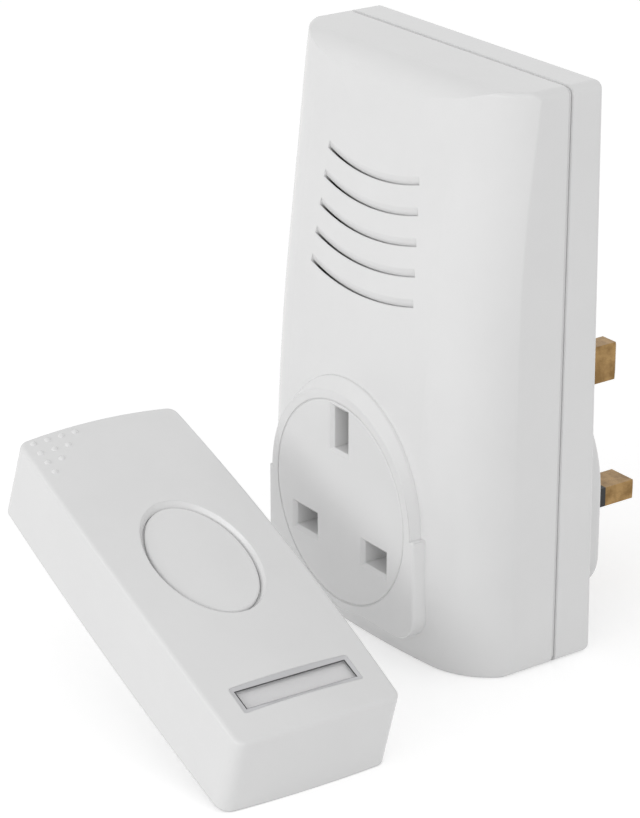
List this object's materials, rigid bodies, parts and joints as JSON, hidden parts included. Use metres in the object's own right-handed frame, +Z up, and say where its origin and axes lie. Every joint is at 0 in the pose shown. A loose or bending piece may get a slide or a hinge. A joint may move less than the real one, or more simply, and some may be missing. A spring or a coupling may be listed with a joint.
{
  "type": "wireless doorbell",
  "caption": "Plug-through wireless doorbell chime with a socket and shutter in front, and its battery bell push with an oval button and label window.",
  "frame": {"origin": "middle of the chime's foot, under the front shell, on the ground", "axes": "+X to the right seen from the front, +Y towards the wall that the pins enter, +Z up"},
  "size_m": [0.0853, 0.1247, 0.113],
  "materials": {
    "white_abs": "satin moulded ABS",
    "socket_moulding": "smooth urea moulding",
    "carrier_moulding": "glass-filled nylon",
    "grey_nylon": "moulded nylon",
    "spring_steel": "spring steel",
    "contact_brass": "stamped brass",
    "pin_brass": "machined brass",
    "black_sleeve": "black moulded sleeve",
    "zinc_screw": "zinc plated",
    "green_board": "solder resist",
    "blue_board": "solder resist",
    "speaker_steel": "black pressed steel",
    "paper_cone": "pressed paper",
    "ferrite": "ferrite ring with steel cup",
    "black_epoxy": "moulded epoxy",
    "yellow_film": "film capacitor box",
    "capacitor_can": "drawn can",
    "copper_wire": "enamelled copper",
    "blank_card": "blank card",
    "clear_window": "clear acrylic",
    "battery_jacket": "plain printed jacket",
    "nickel_strip": "nickel plated strip"
  },
  "bodies": {
    "chime": {"chime_front_shell": "white_abs", "chime_rear_case": "white_abs", "socket_face": "socket_moulding", "shutter_spring": "spring_steel", "live_contact": "contact_brass", "neutral_contact": "contact_brass", "earth_contact": "contact_brass", "live_pin": "pin_brass", "neutral_pin": "pin_brass", "earth_pin": "pin_brass", "pin_sleeves": "black_sleeve", "contact_carrier": "carrier_moulding", "case_screws": "zinc_screw", "circuit_board_screws": "zinc_screw", "chime_circuit_board": "green_board", "speaker_frame": "speaker_steel", "speaker_cone": "paper_cone", "speaker_magnet": "ferrite", "melody_chip": "black_epoxy", "dropper_capacitor": "yellow_film", "smoothing_capacitor": "capacitor_can", "receiver_module": "blue_board", "antenna_coil": "copper_wire"},
    "shutter": {"socket_shutter": "grey_nylon"},
    "push": {"push_cover": "white_abs", "push_back_plate": "white_abs", "label_card": "blank_card", "label_window": "clear_window", "push_circuit_board": "green_board", "push_board_screws": "zinc_screw", "switch_body": "black_epoxy", "encoder_chip": "black_epoxy", "saw_resonator": "capacitor_can", "battery": "battery_jacket", "battery_flat_contact": "nickel_strip", "battery_spring_contact": "nickel_strip"},
    "button": {"push_button": "white_abs"},
    "plunger": {"switch_plunger": "grey_nylon"}
  },
  "joints": [
    {"name": "push_lift", "type": "slide", "parent": "chime", "child": "push", "axis": [0, 0, 1], "range_m": [0, 0.12]},
    {"name": "button_travel", "type": "slide", "parent": "push", "child": "button", "axis": [-0.34, 0.0154, -0.9403], "range_m": [0, 0.0005], "stiffness_N_per_m": 800, "springref_m": -0.0008},
    {"name": "plunger_travel", "type": "slide", "parent": "push", "child": "plunger", "axis": [-0.34, 0.0154, -0.9403], "range_m": [0, 0.0005]},
    {"name": "shutter_travel", "type": "slide", "parent": "chime", "child": "shutter", "axis": [0, 0, -1], "range_m": [0, 0.006], "stiffness_N_per_m": 100, "springref_m": -0.002, "deforming": ["shutter_spring"]}
  ],
  "couplings": [
    {"joint": "plunger_travel", "follows": "button_travel", "ratio": 1}
  ]
}
